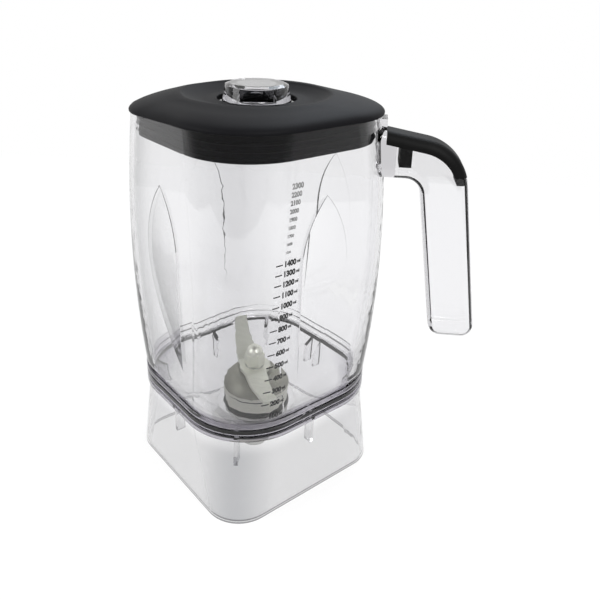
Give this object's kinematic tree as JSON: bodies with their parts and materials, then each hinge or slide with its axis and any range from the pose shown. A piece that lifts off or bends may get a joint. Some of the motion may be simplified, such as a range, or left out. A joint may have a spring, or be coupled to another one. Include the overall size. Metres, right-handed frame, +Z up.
{
  "type": "blender jar",
  "caption": "Clear square blender jar with arched flutes, a flared skirt, a corner handle, a black plug lid, a clear filler cap and a turning two-winged blade on a splined drive.",
  "frame": {"origin": "on the jar's axis, in the plane that the skirt stands on", "axes": "+Z up along the blade's axis, +X from the axis to the handle"},
  "size_m": [0.2276, 0.164, 0.264],
  "materials": {
    "clear_jar": "clear polycarbonate",
    "clear_cap": "clear polycarbonate",
    "grip_rubber": "satin black rubber",
    "lid_rubber": "matt black rubber",
    "gasket_rubber": "black rubber",
    "blade_steel": "stamped stainless steel",
    "hub_steel": "turned stainless steel",
    "steel": "turned steel",
    "bronze": "sintered bronze",
    "white_plastic": "plain nylon"
  },
  "bodies": {
    "jar_body": {"jar": "clear_jar", "handle_grip": "grip_rubber", "bearing_housing": "hub_steel", "floor_gasket": "gasket_rubber", "housing_washer": "steel", "housing_nut": "steel", "upper_bush": "bronze", "lower_bush": "bronze", "upper_thrust_washer": "white_plastic", "lower_thrust_washer": "white_plastic", "shaft_seal": "gasket_rubber"},
    "rotor": {"shaft": "steel", "blade": "blade_steel", "blade_nut": "blade_steel", "blade_washer": "steel", "blade_spacer": "steel", "drive_coupling": "steel", "coupling_screw": "steel"},
    "lid_body": {"lid": "lid_rubber"},
    "cap_body": {"filler_cap": "clear_cap"}
  },
  "joints": [
    {"name": "blade_spin", "type": "hinge", "parent": "jar_body", "child": "rotor", "pos_m": [0, 0, 0.062], "axis": [0, 0, 1], "continuous": true},
    {"name": "lid_lift", "type": "slide", "parent": "jar_body", "child": "lid_body", "axis": [0, 0, 1], "range_m": [0, 0.05]},
    {"name": "cap_lift", "type": "slide", "parent": "lid_body", "child": "cap_body", "axis": [0, 0, 1], "range_m": [0, 0.04]}
  ]
}
